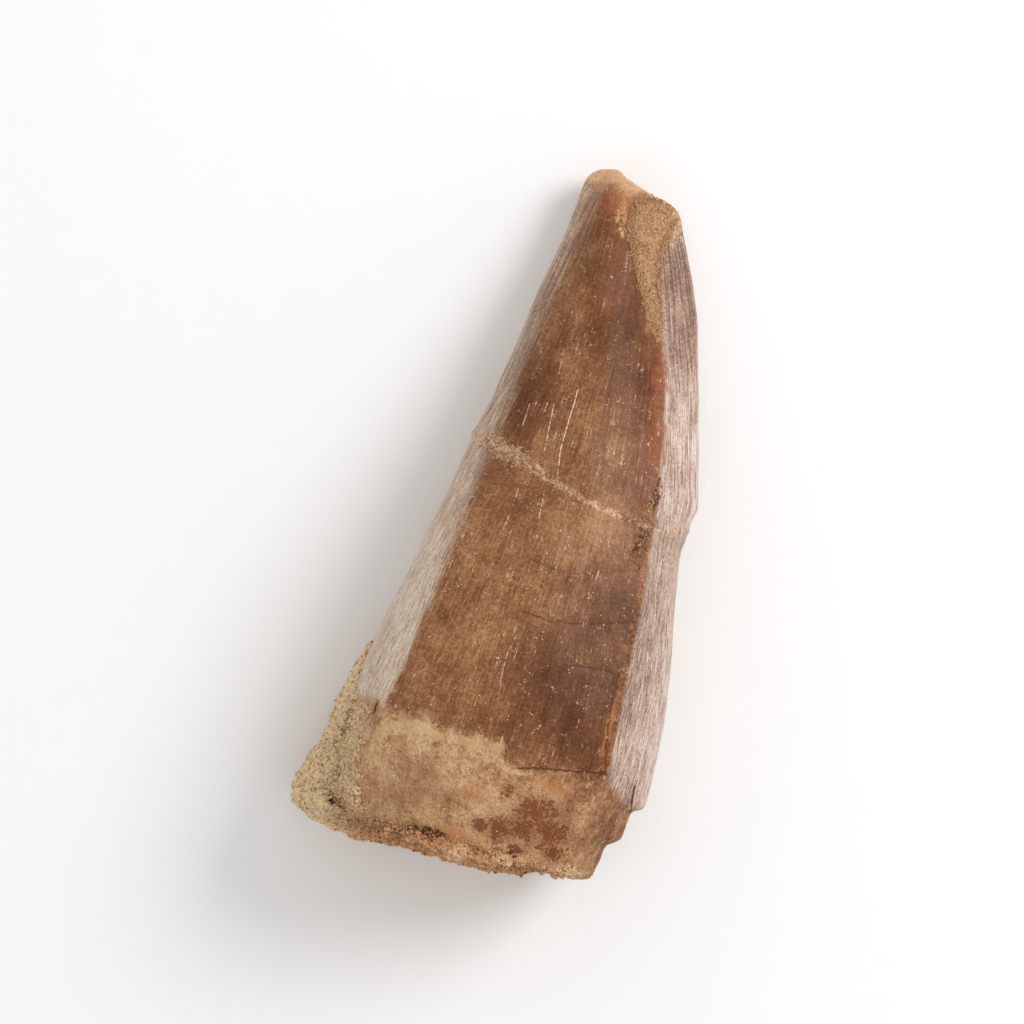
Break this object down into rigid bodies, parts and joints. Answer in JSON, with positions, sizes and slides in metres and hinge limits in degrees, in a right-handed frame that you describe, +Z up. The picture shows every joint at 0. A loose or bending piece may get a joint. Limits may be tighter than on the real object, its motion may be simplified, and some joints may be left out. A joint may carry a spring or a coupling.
{
  "type": "fossil mosasaur tooth",
  "caption": "Fossil mosasaur tooth crown with a short root, brown enamel, worn tip and sandy matrix at the base, lying on its side",
  "frame": {"origin": "Middle of the tooth's box seen from above, on the surface that it lies on.", "axes": "+Y runs from the broken base to the tip, +X to the side of the carina, +Z up out of the flat front face."},
  "size_m": [0.0302, 0.062, 0.0204],
  "materials": {
    "enamel": "semi-gloss brown fossil enamel and dull tan root, finely striated",
    "matrix_sand": "rough sandy phosphate matrix",
    "tip_sand": "rough fine sand crust"
  },
  "bodies": {
    "root": {"tooth": "enamel", "base_matrix": "matrix_sand", "tip_matrix": "tip_sand"}
  },
  "joints": []
}
